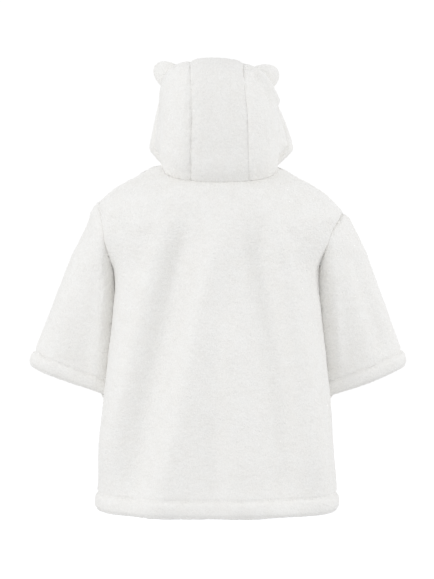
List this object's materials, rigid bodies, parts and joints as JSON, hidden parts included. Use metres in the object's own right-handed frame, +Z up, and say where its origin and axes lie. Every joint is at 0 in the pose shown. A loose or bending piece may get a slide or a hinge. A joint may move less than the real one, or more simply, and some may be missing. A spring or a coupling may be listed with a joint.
{
  "type": "child's fleece hoodie",
  "caption": "Long A-line fleece hoodie for a small child, hood up with round ears, wide elbow-length sleeves, open hem, neck and cuffs, filled out as if worn.",
  "frame": {"origin": "middle of the neck, level with the tops of the shoulder seams, where the wearer's shoulders hold it", "axes": "+Z up, +X the wearer's left, -Y the way the wearer faces, so the front is at -Y and the back at +Y"},
  "size_m": [0.6148, 0.2227, 0.7237],
  "materials": {
    "fleece": "soft matt pile fleece"
  },
  "bodies": {
    "root": {"back": "fleece", "front": "fleece", "sleeve_left": "fleece", "sleeve_right": "fleece", "hood_left": "fleece", "hood_right": "fleece", "hood_middle": "fleece", "ear_left": "fleece", "ear_right": "fleece"}
  },
  "joints": []
}
